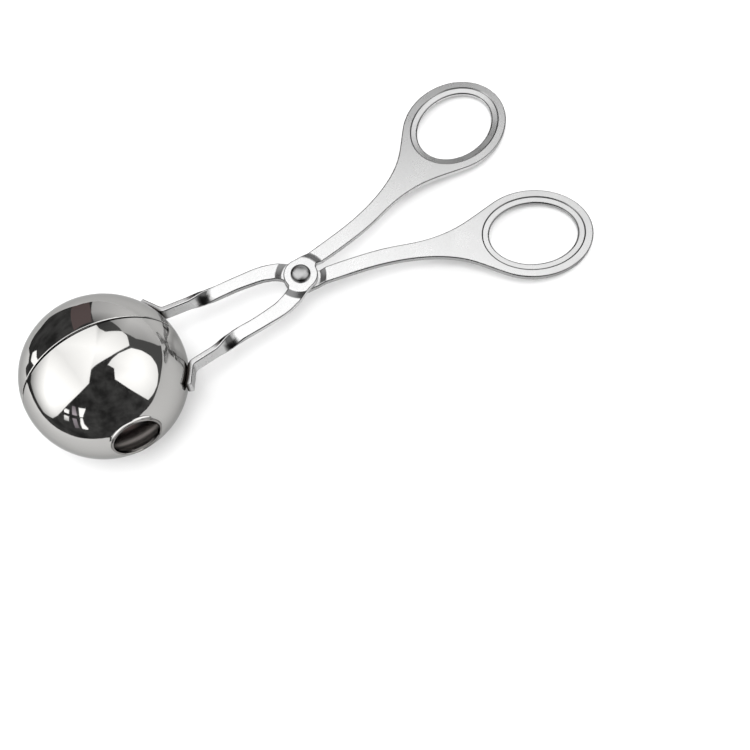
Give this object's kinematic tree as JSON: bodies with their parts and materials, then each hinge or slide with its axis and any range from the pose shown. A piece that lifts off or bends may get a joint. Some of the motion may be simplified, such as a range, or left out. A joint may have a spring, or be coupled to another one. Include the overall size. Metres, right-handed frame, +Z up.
{
  "type": "meatball tongs",
  "caption": "Scissor tongs for shaping meatballs: stamped steel arms with finger loops cross at a domed rivet and close polished half balls whose poles have collared holes.",
  "frame": {"origin": "middle of the footprint on the table, with the tongs lying shut as in the picture", "axes": "+X from the ball towards the finger loops, +Y towards the finger loop of the upper arm, +Z up from the table"},
  "size_m": [0.1846, 0.0818, 0.0508],
  "materials": {
    "arm_steel": "satin",
    "bowl_steel": "mirror polished",
    "rivet_steel": "polished"
  },
  "bodies": {
    "bottom_half": {"bottom_arm": "arm_steel", "bottom_arm_bowl": "bowl_steel", "pivot_rivet": "rivet_steel"},
    "top_half": {"top_arm": "arm_steel", "top_arm_bowl": "bowl_steel"}
  },
  "joints": [
    {"name": "jaw_hinge", "type": "hinge", "parent": "bottom_half", "child": "top_half", "pos_m": [0.00072, 0, 0.015], "axis": [0.1521, 0, 0.9884], "range_deg": [0, 42]}
  ]
}
